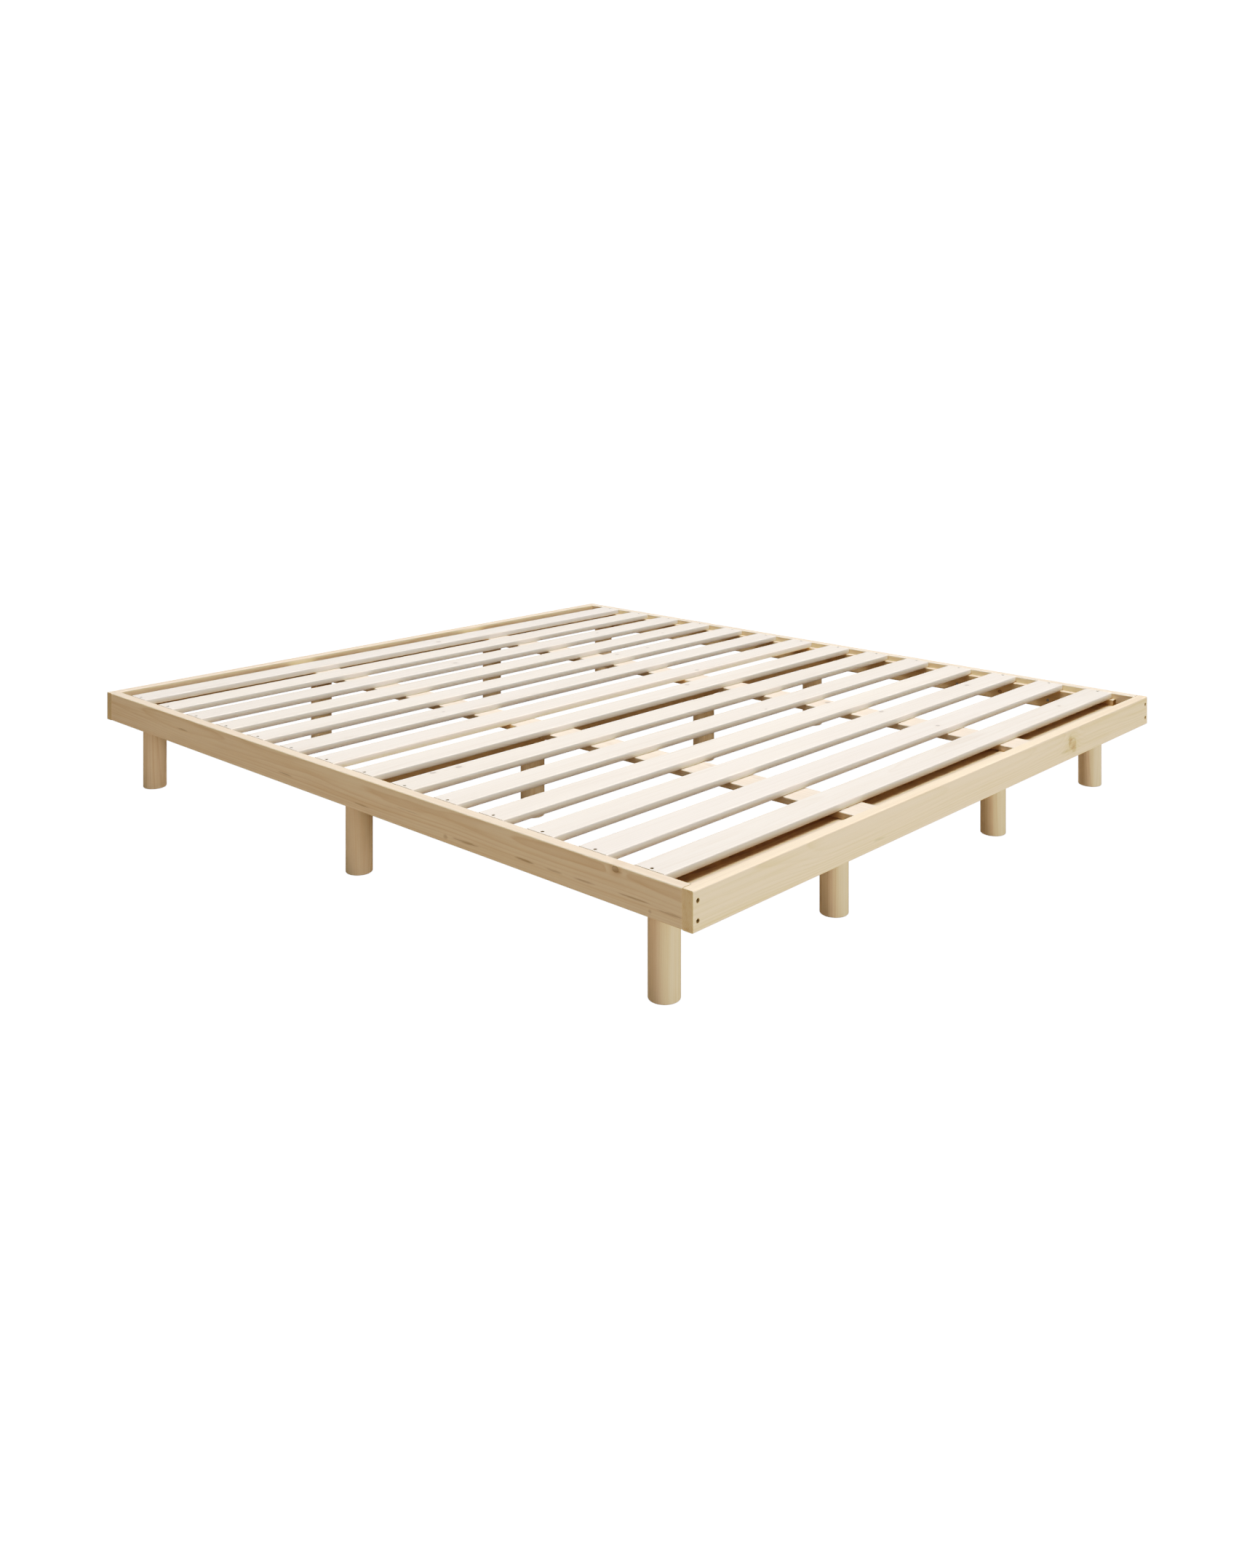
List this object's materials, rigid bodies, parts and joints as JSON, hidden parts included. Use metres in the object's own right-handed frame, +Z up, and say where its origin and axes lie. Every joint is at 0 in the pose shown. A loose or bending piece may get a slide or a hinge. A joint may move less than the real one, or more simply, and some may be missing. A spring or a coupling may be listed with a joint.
{
  "type": "slatted bed frame",
  "caption": "Low wooden bed frame: four rails round a deck of cross slats on ledgers and flat beams, carried by cross boards on round turned legs.",
  "frame": {"origin": "on the floor, under the middle of the bed: the bottom centre of the whole frame's box", "axes": "+Z up from the floor; +Y along the bed from the foot rail to the head rail; +X across the bed, along the slats"},
  "size_m": [1.8, 2, 0.235],
  "materials": {
    "pine_rails": "sanded, clear matt oil",
    "pine_slats": "sanded, untreated",
    "pine_underframe": "sanded, untreated",
    "pine_legs": "turned and sanded, clear matt oil",
    "yellow_zinc_screws": "yellow zinc plated",
    "zinc_screws": "bright zinc"
  },
  "bodies": {
    "root": {"side_rail_left": "pine_rails", "side_rail_right": "pine_rails", "foot_rail": "pine_rails", "head_rail": "pine_rails", "slat_ledger_left": "pine_underframe", "slat_ledger_right": "pine_underframe", "centre_beam_left": "pine_underframe", "centre_beam_right": "pine_underframe", "cross_board_foot": "pine_underframe", "cross_board_middle": "pine_underframe", "cross_board_head": "pine_underframe", "slat_01": "pine_slats", "slat_02": "pine_slats", "slat_03": "pine_slats", "slat_04": "pine_slats", "slat_05": "pine_slats", "slat_06": "pine_slats", "slat_07": "pine_slats", "slat_08": "pine_slats", "slat_09": "pine_slats", "slat_10": "pine_slats", "slat_11": "pine_slats", "slat_12": "pine_slats", "slat_13": "pine_slats", "slat_14": "pine_slats", "leg_foot_1": "pine_legs", "leg_foot_2": "pine_legs", "leg_foot_3": "pine_legs", "leg_foot_4": "pine_legs", "leg_middle_1": "pine_legs", "leg_middle_2": "pine_legs", "leg_middle_3": "pine_legs", "leg_middle_4": "pine_legs", "leg_head_1": "pine_legs", "leg_head_2": "pine_legs", "leg_head_3": "pine_legs", "leg_head_4": "pine_legs", "corner_screws": "yellow_zinc_screws", "slat_screws": "yellow_zinc_screws", "ledger_screws": "zinc_screws", "board_end_screws": "zinc_screws", "beam_screws": "zinc_screws", "leg_bolts": "zinc_screws", "leg_tee_nuts": "zinc_screws"}
  },
  "joints": []
}
